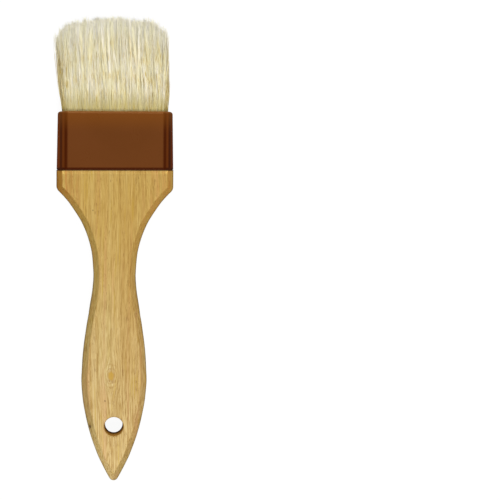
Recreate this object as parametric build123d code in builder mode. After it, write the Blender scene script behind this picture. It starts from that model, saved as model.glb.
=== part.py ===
from math import atan, cos, degrees, sin, sqrt
import os
import random

from build123d import *

# A flat pastry brush: natural bristles glued into a moulded ferrule on a waisted wooden handle.
# It lies on the ferrule's back face. X is its width, +Y runs from the handle's tip to the bristle
# ends and +Z points up. The origin is under the middle of its box. All sizes are in millimetres.

# Lengths along the brush
handle_reach = 147.6        # wood that shows, from the tip to the ferrule
ferrule_length = 27.5
bristle_reach = 45.3        # bristle that shows, from the mouth to the longest strand

# Ferrule
ferrule_width = 55.0
ferrule_depth = 15.0        # front face to back face
ferrule_wall = 2.0          # front, back and corner walls
ferrule_side_wall = 2.3     # at the middle of the rounded sides
ferrule_facet = 2.6         # corner facets beside the front and back faces
ferrule_crown = 1.6         # how far the rounded sides stand out
facet_softening = 1.5       # between a face and its facets
side_softening = 4.0        # between a facet and the rounded side
lip_radius = 1.2            # rounding of the mouth, outside
lip_inner_chamfer = 0.3
end_chamfer = 0.4           # at the end that meets the handle

# Handle
waist_width = 19.9
waist_from_ferrule = 48.5
belly_width = 30.6
belly_from_tip = 48.7
shoulder_run = 9.2          # straight sides under the ferrule
flank_straight = 17.0       # straight stretch between the waist's arc and the belly's
waist_share = 0.34          # the waist's share of those two radii
belly_radius = 83.0         # from the belly towards the tip
belly_run = 24.0
handle_chamfer = 3.0
shoulder_radius = 0.6       # the faces' shoulder corners in plan, inside the chamfer
edge_radius = 1.2           # sanded edges round the front and back faces
tip_radius = 2.0            # sanded tip
tip_overrun = 2.007         # how far the outline's sharp point would run past the sanded tip
hole_radius = 4.5
hole_from_tip = 26.2
hole_chamfer = 0.5
tenon_length = 12.0
tenon_clearance = 0.2       # glue gap round the tenon and at its end

# Inside the ferrule
plug_length = 4.0           # resin between the tenon and the bristle roots
root_length = 3.0           # resin that holds the roots
filler_depth = 2.0          # strip between the two banks of bristles
filler_setback = 2.5        # from the strip's edge to the mouth
filler_softening = 0.5

# Bristles
strand_pitch = 1.12         # least distance between the strands of a row
row_pitch = 1.1             # least distance between the rows of a bank
root_size = 0.78            # a strand's width in the ferrule
middle_size = 0.6
end_size = 0.3
strand_gap = 0.12           # between a strand and the wall or the strip
root_sink = 0.3             # how far a strand runs into its resin
tuft_fan = 1.03             # how much wider the tuft is at its ends than at its roots
tuft_lean = -0.9            # how far the bristle ends lean to one side
tuft_end_gap = 1.1          # between the innermost rows of the two banks at their ends
middle_share = 0.5          # where a strand's slight bend lies, from the mouth to its end
middle_bow = -0.25          # sideways bow of the strands, opposite in the two banks
middle_wander = 0.1
end_wander = 0.28
crown_drop = 1.4            # how much lower the tuft is towards its sides
corner_drop = 6.0           # how much lower still its rounded corners are
corner_sharpness = 8
raggedness = 3.0            # how uneven the bristle ends are
strand_seed = 11

# Places along Y
overall_length = handle_reach + ferrule_length + bristle_reach
tip_y = -overall_length / 2
joint_y = tip_y + handle_reach
mouth_y = joint_y + ferrule_length
crown_y = mouth_y + bristle_reach
tenon_end_y = joint_y + tenon_length
plug_y = tenon_end_y + tenon_clearance
roots_y = plug_y + plug_length
roots_end_y = roots_y + root_length
filler_end_y = mouth_y - filler_setback
hole_y = tip_y + hole_from_tip

# The cavity that the tenon, the resin and the bristles share
middle_z = ferrule_depth / 2
cavity_half_width = ferrule_width / 2 - ferrule_side_wall
cavity_half_depth = middle_z - ferrule_wall
facet_reach = ferrule_width / 2 - ferrule_crown + middle_z - ferrule_facet
cavity_reach = facet_reach - ferrule_wall * sqrt(2)     # x + z along the cavity's corners
cavity_corner = cavity_half_width + cavity_half_depth - cavity_reach

handle_depth = 2 * (cavity_half_depth - tenon_clearance)
handle_bottom_z = middle_z - handle_depth / 2

along = (0, 1, 0)
tiny = 0.01                 # slack for choosing edges and corners by their place


def cross_plane(y):
    """A plane across the brush at y, upright, with its middle at the middle of the ferrule."""
    return Plane(origin=(0, y, middle_z), x_dir=(1, 0, 0), z_dir=(0, -1, 0))


def ferrule_section(y):
    """The ferrule's outer section: flat faces, corner facets and rounded sides."""
    side = ferrule_width / 2 - ferrule_crown
    face = side - ferrule_facet
    top = middle_z
    corner = middle_z - ferrule_facet
    with BuildSketch(cross_plane(y)) as section:
        with BuildLine():
            Polyline((side, corner), (face, top), (-face, top), (-side, corner))
            ThreePointArc((-side, corner), (-ferrule_width / 2, 0), (-side, -corner))
            Polyline((-side, -corner), (-face, -top), (face, -top), (side, -corner))
            ThreePointArc((side, -corner), (ferrule_width / 2, 0), (side, corner))
        make_face()
        face_corners = section.vertices().filter_by(lambda point: abs(point.Y) > top - tiny)
        fillet(face_corners, facet_softening)
        side_corners = section.vertices().filter_by(lambda point: abs(abs(point.Y) - corner) < tiny)
        fillet(side_corners, side_softening)
    return section.sketch


def cavity_section(y, clearance=0.0):
    """The cavity's section, or that of what fits in it with a clearance all round."""
    with BuildSketch(cross_plane(y)) as section:
        Rectangle(2 * cavity_half_width, 2 * cavity_half_depth)
        chamfer(section.vertices(), cavity_corner)
        if clearance:
            offset(amount=-clearance, kind=Kind.INTERSECTION, mode=Mode.REPLACE)
    return section.sketch


# Ferrule: a moulded sleeve with a rounded lip at its mouth
with BuildPart() as ferrule:
    extrude(ferrule_section(joint_y), amount=ferrule_length, dir=along)
    fillet(ferrule.faces().sort_by(Axis.Y)[-1].edges(), lip_radius)
    chamfer(ferrule.faces().sort_by(Axis.Y)[0].edges(), end_chamfer)
    extrude(cavity_section(joint_y), amount=ferrule_length, dir=along, mode=Mode.SUBTRACT)
    chamfer(ferrule.faces().sort_by(Axis.Y)[-1].inner_wires().edges(), lip_inner_chamfer)
ferrule.part.label = "ferrule"


def is_outline(edge):
    """An edge of the board's outline, which leaves out the hole and the end that the tenon is on."""
    return edge.center().Y < joint_y - tiny and abs(edge.center().Y - hole_y) > tiny


def is_tip_edge(edge):
    """The upright edge at the tip and the ridges where the chamfers of its two sides meet."""
    return is_outline(edge) and abs(edge.center().X) < tiny


def is_face_edge(edge):
    """An edge round the front or the back face, between it and the chamfer."""
    return is_outline(edge) and abs(abs(edge.center().Z - middle_z) - handle_depth / 2) < tiny


def is_hole_rim(edge):
    return abs(edge.center().Y - hole_y) < tiny and edge.geom_type == GeomType.CIRCLE


# Handle: a flat board, cut to a waist and a belly, chamfered all round and glued in by its tenon
waist = (waist_width / 2, joint_y - waist_from_ferrule)
belly = (belly_width / 2, tip_y + belly_from_tip)
shoulder = (ferrule_width / 2, joint_y - shoulder_run)
apex = (0, tip_y - tip_overrun)

# The flank between the waist and the belly is two arcs with a straight stretch between them
flank_rise = belly[0] - waist[0]
flank_fall = waist[1] - belly[1]
flank_angle = 2 * atan(flank_rise / (flank_fall + flank_straight))
flank_radii = (flank_fall - flank_straight * cos(flank_angle)) / sin(flank_angle)
waist_radius = flank_radii * waist_share
flank_radius = flank_radii - waist_radius
nose_angle = degrees(belly_run / belly_radius)

with BuildPart() as handle:
    with BuildSketch(Plane.XY.offset(handle_bottom_z)) as board:
        with BuildLine():
            Line((0, joint_y), (shoulder[0], joint_y))
            Line((shoulder[0], joint_y), shoulder)
            TangentArc(waist, shoulder, tangent=(0, 1))
            waist_arc = JernArc(waist, (0, -1), waist_radius, degrees(flank_angle))
            flank = Line(waist_arc @ 1, (waist_arc @ 1) + (waist_arc % 1) * flank_straight)
            belly_arc = JernArc(flank @ 1, flank % 1, flank_radius, -degrees(flank_angle))
            nose_arc = JernArc(belly_arc @ 1, belly_arc % 1, belly_radius, -nose_angle)
            TangentArc(nose_arc @ 1, apex, tangent=nose_arc % 1)
            mirror(about=Plane.YZ)
        make_face()
        shoulders = board.vertices().filter_by(lambda point: abs(point.Y - shoulder[1]) < tiny)
        fillet(shoulders, shoulder_radius + handle_chamfer)
    extrude(amount=handle_depth)
    with Locations((0, hole_y, handle_bottom_z + handle_depth)):
        Hole(radius=hole_radius, depth=handle_depth)
    chamfer(handle.faces().filter_by(Axis.Z).edges().filter_by(is_outline), handle_chamfer)
    fillet(handle.edges().filter_by(is_tip_edge), tip_radius)
    fillet(handle.edges().filter_by(is_face_edge), edge_radius)
    chamfer(handle.edges().filter_by(is_hole_rim), hole_chamfer)
    extrude(cavity_section(joint_y, tenon_clearance), amount=tenon_length, dir=along)
handle.part.label = "handle"


# Resin between the tenon and the bristle roots, cast against the ferrule's walls
with BuildPart() as epoxy_plug:
    extrude(cavity_section(plug_y), amount=plug_length, dir=along)
epoxy_plug.part.label = "epoxy_plug"


# The strip that keeps the two banks of bristles apart
with BuildPart() as filler_strip:
    with BuildSketch(cross_plane(roots_y)):
        Rectangle(2 * cavity_half_width, filler_depth)
    extrude(amount=filler_end_y - roots_y, dir=along)
    fillet(filler_strip.faces().sort_by(Axis.Y)[-1].edges().filter_by(Axis.X), filler_softening)
filler_strip.part.label = "filler_strip"


# Bristles: two banks of tapering strands, each fused to the slice of resin that holds its roots
def row_half_width(height):
    """How far the strands of a row reach to each side, in the cavity's straight or corner walls."""
    straight = cavity_half_width - strand_gap - root_size / 2
    corner = cavity_reach - height - root_size - strand_gap * sqrt(2)
    return min(straight, corner)


def strand_end(across):
    """Where the tuft ends, from -1 at its left side to 1 at its right side."""
    return crown_y - crown_drop * across**2 - corner_drop * across**corner_sharpness


def strand(points):
    """One strand: square sections at its root, the mouth, its slight bend and its fine end."""
    rings = []
    for point, size in zip(points, (root_size, root_size, middle_size, end_size)):
        corners = [(1, 1), (-1, 1), (-1, -1), (1, -1)]
        rings.append([point + Vector(x, 0, z) * (size / 2) for x, z in corners])
    flats = [rings[0], rings[-1]]
    for near, far in zip(rings, rings[1:]):
        for corner in range(4):
            flats.append([near[corner - 1], near[corner], far[corner], far[corner - 1]])
    return Solid(Shell([Face(Wire.make_polygon(flat)) for flat in flats]))


def bank_strands(side, chance):
    """The strands of one bank, row by row outwards from the filler strip."""
    strands = []
    root_y = roots_end_y - root_sink
    inner = filler_depth / 2 + strand_gap + root_size / 2
    outer = cavity_half_depth - strand_gap - root_size / 2
    row_count = int((outer - inner) / row_pitch) + 1
    for row in range(row_count):
        outwards = row / (row_count - 1)
        height = inner + (outer - inner) * outwards
        end_height = tuft_end_gap / 2 + (cavity_half_depth - tuft_end_gap / 2) * outwards
        half_width = row_half_width(height)
        columns = int(2 * half_width / strand_pitch) + 1
        for column in range(columns):
            x = half_width * (2 * column / (columns - 1) - 1)
            end_x = x * tuft_fan + tuft_lean + chance.uniform(-end_wander, end_wander)
            end_z = middle_z + side * end_height + chance.uniform(-end_wander, end_wander)
            shortfall = raggedness * chance.random() ** 2
            if row == 0 and column == columns // 2:
                shortfall = 0
            end_y = strand_end(x / cavity_half_width) - shortfall
            root = Vector(x, root_y, middle_z + side * height)
            mouth = Vector(x, mouth_y, middle_z + side * height)
            end = Vector(end_x, end_y, end_z)
            bend = middle_bow * side + chance.uniform(-middle_wander, middle_wander)
            middle = mouth + (end - mouth) * middle_share + Vector(bend, 0, 0)
            strands.append(strand((root, mouth, middle, end)))
    return strands


def bank_section(y, side):
    """The cavity's section on one side of the filler strip: 1 is the front, -1 is the back."""
    with BuildSketch(cross_plane(y)) as section:
        Rectangle(2 * cavity_half_width, 2 * cavity_half_depth)
        chamfer(section.vertices(), cavity_corner)
        with Locations((0, side * (filler_depth / 2 - cavity_half_depth) / 2)):
            Rectangle(
                2 * cavity_half_width, cavity_half_depth + filler_depth / 2, mode=Mode.SUBTRACT
            )
    return section.sketch


chance = random.Random(strand_seed)
front_strands = bank_strands(1, chance)
back_strands = bank_strands(-1, chance)

with BuildPart() as bristles_front:
    extrude(bank_section(roots_y, 1), amount=root_length, dir=along)
    add(front_strands)
bristles_front.part.label = "bristles_front"

with BuildPart() as bristles_back:
    extrude(bank_section(roots_y, -1), amount=root_length, dir=along)
    add(back_strands)
bristles_back.part.label = "bristles_back"


os.makedirs("parts", exist_ok=True)
for piece in (ferrule, handle, epoxy_plug, filler_strip, bristles_front, bristles_back):
    export_step(piece.part, f"parts/{piece.part.label}.step")
print("strands", len(front_strands) + len(back_strands))
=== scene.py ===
import math

import bpy
import numpy as np
from mathutils import Matrix, Vector


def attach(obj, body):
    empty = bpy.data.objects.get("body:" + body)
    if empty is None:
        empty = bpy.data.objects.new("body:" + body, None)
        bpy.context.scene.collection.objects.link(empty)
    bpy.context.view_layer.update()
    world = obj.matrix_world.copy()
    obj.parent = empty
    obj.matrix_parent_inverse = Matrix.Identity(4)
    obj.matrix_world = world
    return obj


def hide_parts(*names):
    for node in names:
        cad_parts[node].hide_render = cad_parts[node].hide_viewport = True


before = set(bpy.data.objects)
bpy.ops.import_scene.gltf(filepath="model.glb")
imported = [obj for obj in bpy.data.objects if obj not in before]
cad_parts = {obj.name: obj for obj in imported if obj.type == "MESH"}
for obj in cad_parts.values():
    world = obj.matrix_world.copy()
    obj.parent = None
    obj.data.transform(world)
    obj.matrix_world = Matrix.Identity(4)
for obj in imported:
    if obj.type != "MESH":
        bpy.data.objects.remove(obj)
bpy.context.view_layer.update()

mm = 0.001
nearEnough = 0.001    # in mm: a point this close to a level lies on it
mergeWithin = 0.004   # in mm: points this close become one
print("frame loaded:", ", ".join(sorted(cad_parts)))


# Helpers for meshes

def onlySelect(piece):
    if bpy.context.object and bpy.context.object.mode != "OBJECT":
        bpy.ops.object.mode_set(mode="OBJECT")
    bpy.ops.object.select_all(action="DESELECT")
    piece.select_set(True)
    bpy.context.view_layer.objects.active = piece


def startEditing(piece):
    # with all of the piece selected
    onlySelect(piece)
    bpy.ops.object.mode_set(mode="EDIT")
    bpy.ops.mesh.select_all(action="SELECT")


def stopEditing():
    bpy.ops.object.mode_set(mode="OBJECT")


def pointsOf(mesh):
    spots = np.empty(len(mesh.vertices) * 3)
    mesh.vertices.foreach_get("co", spots)
    return spots.reshape(-1, 3)


def movePoints(mesh, spots):
    mesh.vertices.foreach_set("co", spots.ravel())
    mesh.update()


def sheetFrom(name, places):
    # a grid primitive with each point moved to its place; places is columns x rows x 3, in mm
    columns, rows = places.shape[:2]
    bpy.ops.object.select_all(action="DESELECT")
    bpy.ops.mesh.primitive_grid_add(x_subdivisions=columns - 1, y_subdivisions=rows - 1, size=2)
    sheet = bpy.context.object
    sheet.name = sheet.data.name = name
    spots = pointsOf(sheet.data)
    column = np.rint((spots[:, 0] + 1) / 2 * (columns - 1)).astype(int)
    row = np.rint((spots[:, 1] + 1) / 2 * (rows - 1)).astype(int)
    movePoints(sheet.data, places[column, row] * mm)
    startEditing(sheet)
    bpy.ops.mesh.remove_doubles(threshold=mergeWithin * mm)
    stopEditing()
    return sheet


def selectPoints(piece, wanted):
    # wanted takes the points' places in mm, as an array, and says which to select
    onlySelect(piece)
    chosen = wanted(pointsOf(piece.data) / mm)
    bpy.ops.object.mode_set(mode="EDIT")
    bpy.ops.mesh.select_mode(type="VERT")
    bpy.ops.mesh.select_all(action="DESELECT")
    stopEditing()
    piece.data.vertices.foreach_set("select", chosen)
    piece.data.update()
    bpy.ops.object.mode_set(mode="EDIT")
    bpy.ops.mesh.select_mode(type="VERT")


def selectLevel(piece, axis, level):
    selectPoints(piece, lambda spots: np.abs(spots[:, axis] - level) < nearEnough)


def fillSelected():
    bpy.ops.mesh.edge_face_add()
    stopEditing()


def turnOutwards(piece):
    startEditing(piece)
    bpy.ops.mesh.normals_make_consistent(inside=False)
    stopEditing()


def smooth(piece, degrees=35):
    onlySelect(piece)
    bpy.ops.object.shade_smooth_by_angle(angle=math.radians(degrees))


def rise(value, start, end):
    # 0 up to the start, 1 from the end on
    return np.clip((value - start) / (end - start), 0, 1)


def softened(corners, steps=5):
    # a line through corners (a, b, radius), each corner rounded by its radius
    line = []
    for before, corner, after in zip([None] + corners[:-1], corners, corners[1:] + [None]):
        spot, radius = np.array(corner[:2], float), corner[2]
        if before is None or after is None or not radius:
            line.append(spot)
            continue
        towards = [np.array(other[:2]) - spot for other in (before, after)]
        towards = [way / np.linalg.norm(way) for way in towards]
        half = math.acos(np.clip(towards[0] @ towards[1], -1, 1)) / 2
        bisector = sum(towards) / np.linalg.norm(sum(towards))
        centre = spot + bisector * radius / math.sin(half)
        first, last = (spot + way * radius / math.tan(half) - centre for way in towards)
        turn = math.acos(np.clip(first @ last / radius**2, -1, 1))
        for step in range(steps + 1):
            share = step / steps
            line.append(centre + (math.sin((1 - share) * turn) * first
                                  + math.sin(share * turn) * last) / math.sin(turn))
    return np.array(line)


# Helpers for materials

def linear(code):
    share = code / 255
    return share / 12.92 if share <= 0.04045 else ((share + 0.055) / 1.055) ** 2.4


def tone(red, green, blue):
    # from the codes that a colour picker shows
    return (linear(red), linear(green), linear(blue), 1)


def feed(tree, node, inputs):
    # an input gets a link, or a plain value
    for key, value in inputs.items():
        if isinstance(value, bpy.types.NodeSocket):
            tree.links.new(value, node.inputs[key])
        else:
            node.inputs[key].default_value = value


def addNode(tree, kind, inputs=None, **settings):
    node = tree.nodes.new(kind)
    for name, value in settings.items():
        setattr(node, name, value)
    feed(tree, node, inputs or {})
    return node


def maths(tree, operation, *values, clamp=False):
    inputs = dict(enumerate(values))
    return addNode(tree, "ShaderNodeMath", inputs, operation=operation, use_clamp=clamp).outputs[0]


def plus(tree, first, second, clamp=False):
    return maths(tree, "ADD", first, second, clamp=clamp)


def minus(tree, first, second):
    return maths(tree, "SUBTRACT", first, second)


def times(tree, first, second):
    return maths(tree, "MULTIPLY", first, second)


def timesPlus(tree, value, factor, more):
    return maths(tree, "MULTIPLY_ADD", value, factor, more)


def distance(tree, value, level):
    return maths(tree, "ABSOLUTE", minus(tree, value, level))


def vectorMaths(tree, operation, *vectors):
    return addNode(tree, "ShaderNodeVectorMath", dict(enumerate(vectors)), operation=operation)


def stretched(tree, vector, scale):
    return vectorMaths(tree, "MULTIPLY", vector, scale).outputs[0]


def seenFrom(tree, vector, place):
    return vectorMaths(tree, "SUBTRACT", vector, place).outputs[0]


def lengthOf(tree, vector):
    return vectorMaths(tree, "LENGTH", vector).outputs["Value"]


def split(tree, vector):
    return addNode(tree, "ShaderNodeSeparateXYZ", {0: vector}).outputs


def noise(tree, vector, scale, detail=2.0, roughness=0.5):
    return addNode(tree, "ShaderNodeTexNoise",
                   {"Vector": stretched(tree, vector, scale), "Scale": 1.0, "Detail": detail,
                    "Roughness": roughness}).outputs["Fac"]


def wobble(tree, vector, pattern, span):
    # noise about 0
    return timesPlus(tree, noise(tree, vector, *pattern), span, -span / 2)


def ranged(tree, value, low, high, outLow=0.0, outHigh=1.0):
    return addNode(tree, "ShaderNodeMapRange",
                   {"Value": value, "From Min": low, "From Max": high, "To Min": outLow,
                    "To Max": outHigh}, interpolation_type="SMOOTHSTEP").outputs[0]


def blended(tree, share, first, second, how="MIX"):
    return addNode(tree, "ShaderNodeMix", {0: share, 6: first, 7: second}, data_type="RGBA",
                   blend_type=how).outputs[2]


def tinted(tree, share, colour, shade):
    return blended(tree, share, colour, shade, "MULTIPLY")


def ramp(tree, value, stops):
    node = addNode(tree, "ShaderNodeValToRGB", {"Fac": value})
    band = node.color_ramp
    while len(band.elements) < len(stops):
        band.elements.new(0.5)
    for element, (place, colour) in zip(band.elements, stops):
        element.position, element.color = place, colour
    return node.outputs["Color"]


def addBump(tree, shader, height, strength, depth):
    bump = addNode(tree, "ShaderNodeBump",
                   {"Height": height, "Strength": strength, "Distance": depth * mm})
    feed(tree, shader, {"Normal": bump.outputs[0]})


def newMaterial(name):
    material = bpy.data.materials.new(name)
    material.use_nodes = True
    return material, material.node_tree, material.node_tree.nodes["Principled BSDF"]


def inMillimetres(tree):
    coordinate = addNode(tree, "ShaderNodeTexCoord").outputs["Object"]
    return stretched(tree, coordinate, (1 / mm,) * 3)


def wear(piece, material):
    piece.data.materials.clear()
    piece.data.materials.append(material)


# Shared node groups

def groupOf(name, inputs, outputs):
    group = bpy.data.node_groups.new(name, "ShaderNodeTree")
    for label, kind, value in inputs:
        socket = group.interface.new_socket(label, in_out="INPUT", socket_type=kind)
        if value is not None:
            socket.default_value = value
    for label in outputs:
        group.interface.new_socket(label, in_out="OUTPUT", socket_type="NodeSocketFloat")
    return group, group.nodes.new("NodeGroupInput").outputs, group.nodes.new("NodeGroupOutput")


# A pattern is how fine it is across, along and in depth, then its detail and its roughness
handlingLook = {
    "smears": ((0.09, 0.05, 0.09), 3),
    "rubbing": ((1.6, 0.9, 1.6), 4, 0.65),
    "smearShare": 0.65,
    "levels": (0.32, 0.68),
}


def makeHandling(look):
    # the smears and fine rubbing that every handled surface has, as a roughness
    group, given, made = groupOf(
        "handling",
        [("Vector", "NodeSocketVector", None), ("Smooth", "NodeSocketFloat", 0.3),
         ("Rough", "NodeSocketFloat", 0.5)],
        ["Roughness"])
    smears = times(group, noise(group, given["Vector"], *look["smears"]), look["smearShare"])
    rubbing = times(group, noise(group, given["Vector"], *look["rubbing"]),
                    1 - look["smearShare"])
    level = ranged(group, plus(group, smears, rubbing), *look["levels"])
    span = minus(group, given["Rough"], given["Smooth"])
    feed(group, made, {"Roughness": timesPlus(group, level, span, given["Smooth"])})
    return group


grainLook = {
    "longFibres": ((3.0, 0.03, 3.0), 4, 0.6),
    "shortFibres": ((2.6, 0.17, 2.6), 4, 0.6),
    "contrast": 0.72,
    "bands": ((0.34, 0.0085, 0.30), 3),
    "streaks": ((1.05, 0.042, 1.05), 2),
    "crowds": ((0.33, 0.03, 0.33), 1),  # where the pores crowd together
    "crowded": (0.42, 0.62),
    "elsewhere": 0.25,                  # how strong they are between the crowds
    "slits": ((3.9, 0.20, 3.9), 0),
    "slitLevels": (0.70, 0.76),
    "dots": ((5.2, 0.55, 5.2), 0),
    "dotLevels": (0.73, 0.79),
}


def makeBoardGrain(look):
    # straight-grained hardwood: fine fibres, broad bands and short open pores, all along Y
    group, given, made = groupOf("boardGrain", [("Vector", "NodeSocketVector", None)],
                                 ["Fibres", "Bands", "Pores", "Streaks"])
    vector = given["Vector"]
    fibres = plus(group, noise(group, vector, *look["longFibres"]),
                  noise(group, vector, *look["shortFibres"]))
    crowd = ranged(group, noise(group, vector, *look["crowds"]), *look["crowded"])
    slits = ranged(group, noise(group, vector, *look["slits"]), *look["slitLevels"])
    dots = ranged(group, noise(group, vector, *look["dots"]), *look["dotLevels"])
    feed(group, made, {
        "Fibres": timesPlus(group, fibres, look["contrast"], 0.5 - look["contrast"]),
        "Bands": noise(group, vector, *look["bands"]),
        "Pores": times(group, maths(group, "MAXIMUM", slits, dots),
                       timesPlus(group, crowd, 1 - look["elsewhere"], look["elsewhere"])),
        "Streaks": noise(group, vector, *look["streaks"]),
    })
    return group


handlingGroup = makeHandling(handlingLook)
grainGroup = makeBoardGrain(grainLook)


def handled(tree, spot, smooth, rough):
    return addNode(tree, "ShaderNodeGroup", {"Vector": spot, "Smooth": smooth, "Rough": rough},
                   node_tree=handlingGroup).outputs["Roughness"]


def grainOf(tree, spot):
    return addNode(tree, "ShaderNodeGroup", {"Vector": spot}, node_tree=grainGroup).outputs


# Camera: straight above the brush, panned so that the brush stands at the left of the picture

view = {
    "height": 750.0,        # above the floor
    "over": (0.0, 30.0),
    "pan": 4.96,            # degrees
    "tilt": -2.32,
    "roll": 0.50,
    "lens": 112.35,
    "sensor": 36,
    "clip": (0.05, 20),     # metres
}


def makeCamera():
    data = bpy.data.cameras.new("camera")
    camera = bpy.data.objects.new("camera", data)
    bpy.context.scene.collection.objects.link(camera)
    data.sensor_width, data.lens = view["sensor"], view["lens"]
    data.clip_start, data.clip_end = view["clip"]
    camera.location = [place * mm for place in (*view["over"], view["height"])]
    # looks down with +Y up, then pans to the right and rolls
    turn = (Matrix.Rotation(-math.radians(view["pan"]), 3, "Y")
            @ Matrix.Rotation(math.radians(view["tilt"]), 3, "X")
            @ Matrix.Rotation(math.radians(view["roll"]), 3, "Z"))
    camera.rotation_euler = turn.to_euler()
    bpy.context.scene.camera = camera


makeCamera()


# Lights, world and floor

studio = {
    "key": {"place": (110, -560, 840), "size": 420, "power": 4.9},
    "fill": {"place": (40, 640, 700), "size": 420, "power": 3.9},
    "sky": 0.34,
    "floorSize": 6.0,                       # metres
    "floorColour": (0.43, 0.36, 0.25, 1),   # as it lights the brush
    "floorSeen": (0.10, 0.10, 0.10, 1),     # as the camera sees it, with its glow
    "floorGlow": 0.94,
}
white = (1, 1, 1, 1)


def makeLamp(name, place, size, power):
    data = bpy.data.lights.new(name, "AREA")
    data.energy, data.size = power, size * mm
    lamp = bpy.data.objects.new(name, data)
    bpy.context.scene.collection.objects.link(lamp)
    lamp.location = Vector(place) * mm
    lamp.rotation_euler = (-Vector(place)).to_track_quat("-Z", "Y").to_euler()


def twoFaced(tree, forLight, forCamera, output):
    # the camera sees one shader, and all other light meets the other
    path = addNode(tree, "ShaderNodeLightPath")
    both = addNode(tree, "ShaderNodeMixShader", {0: path.outputs["Is Camera Ray"],
                                                 1: forLight.outputs[0], 2: forCamera.outputs[0]})
    addNode(tree, output, {"Surface": both.outputs[0]})


def makeStudio():
    for name in ("key", "fill"):
        makeLamp(name, **studio[name])
    world = bpy.data.worlds.new("world")
    bpy.context.scene.world = world
    world.use_nodes = True
    tree = world.node_tree
    tree.nodes.clear()
    sky = addNode(tree, "ShaderNodeBackground", {"Color": white, "Strength": studio["sky"]})
    backdrop = addNode(tree, "ShaderNodeBackground", {"Color": white, "Strength": 1.0})
    twoFaced(tree, sky, backdrop, "ShaderNodeOutputWorld")

    bpy.ops.mesh.primitive_plane_add(size=studio["floorSize"])
    floor = bpy.context.object
    floor.name = "floor"
    material, tree = newMaterial("floorPaper")[:2]
    tree.nodes.clear()
    plain = addNode(tree, "ShaderNodeBsdfDiffuse", {"Color": studio["floorColour"]})
    seen = addNode(tree, "ShaderNodeBsdfDiffuse", {"Color": studio["floorSeen"]})
    glow = addNode(tree, "ShaderNodeEmission", {"Color": white, "Strength": studio["floorGlow"]})
    lit = addNode(tree, "ShaderNodeAddShader", {0: seen.outputs[0], 1: glow.outputs[0]})
    twoFaced(tree, plain, lit, "ShaderNodeOutputMaterial")
    wear(floor, material)


makeStudio()
bpy.context.scene.view_settings.view_transform = "Standard"
print("camera, lights and floor made")


# Handle

handleSize = {
    "jointY": 37.4,
    "jointGap": 0.05,         # a hairline between the wood and the ferrule
    "skew": 0.0085,           # the joint rises to the right, as the ferrule's mouth does
    "skewed": (31.0, 37.0),   # from nothing to all of it
    "shoulderX": 27.5,
    "step": 0.9,              # at most, between points along the outline
    "arcStep": 0.12,          # at most, as a share of an arc's radius
    "bottom": 2.2,
    "top": 12.8,
    "chamfer": 3.0,
    "faceSoftening": 0.8,
    "sideSoftening": 1.1,
    "endSoftening": 0.16,
    "support": 3.59,          # last loop on the flat faces
    "tipRadius": 2.2,
    "leastSlant": 0.001,      # of a line into the wood that is to meet the other side's
    # from the ferrule down to the tip: straight lengths, or radii with their turn towards the axis
    "runs": [("line", 7.62), (3.6, 46.47), (52.78, -46.47), (72.4, -9.077), ("line", 17.0),
             (140.6, 9.077), (50.73, 2.725), (99.0, 27.488), (2.2, 59.787)],
    "unevenness": 0.10,       # of the hand-sanded chamfer
    "waves": [(0.21, 0.6, 1.0), (0.083, 2, 0.6), (0.47, 0, 0.5)],  # pace, start, share of each
    "wavesStart": 8,          # how far from the ferrule they are in full, and from the tip
    "wavesEnd": 12,
    "backWaves": -0.7,
    "holeY": -84.0,
    "holeRadius": 4.5,
    "holeSides": 72,
    "holeFlare": 0.35,        # at the front
    "holeFlareSlope": 1.3,    # how deep the flare goes, for each mm that it widens
    "holeExit": 0.35,         # narrower near the back, where the drill came out
    "holeExitHeight": 1.0,    # above the back, where it is narrowest
    "holeBackRim": 0.02,      # wider than the hole again
    "holeSoftening": 0.3,
    "holeRaggedness": 0.33,
    "drillPast": 1.5,         # how far the drill goes past both faces
    "tenonLength": 12.0,
    "tenonHalfWidth": 25.0,
}


def traceHandle(size):
    # points along the right side's outline and the directions into the wood
    x, y, angle = size["shoulderX"], size["jointY"] - size["jointGap"], 0.0
    spots, inwards = [(x, y)], [(-1.0, 0.0)]
    for kind, amount in size["runs"]:
        straight = kind == "line"
        length = amount if straight else abs(math.radians(amount)) * kind
        longest = size["step"] if straight else min(size["step"], size["arcStep"] * kind)
        steps = max(2, math.ceil(length / longest))
        turn = 0 if straight else math.radians(amount) / steps
        stride = length / steps if straight else 2 * kind * math.sin(abs(turn) / 2)
        for step in range(steps):
            middle = angle + turn / 2
            x -= math.sin(middle) * stride
            y -= math.cos(middle) * stride
            angle += turn
            spots.append((x, y))
            inwards.append((-math.cos(angle), math.sin(angle)))
    spots, inwards = np.array(spots), np.array(inwards)
    spots[-1, 0], inwards[-1] = 0.0, (0.0, 1.0)
    return spots, inwards


def sandedBy(travel, size):
    # the sanded chamfer wanders a little along the outline
    sanding = sum(share * np.sin(travel * pace + start) for pace, start, share in size["waves"])
    sanding *= rise(travel, 0, size["wavesStart"]) * rise(travel[-1] - travel, 0, size["wavesEnd"])
    return size["unevenness"] * sanding


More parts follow.
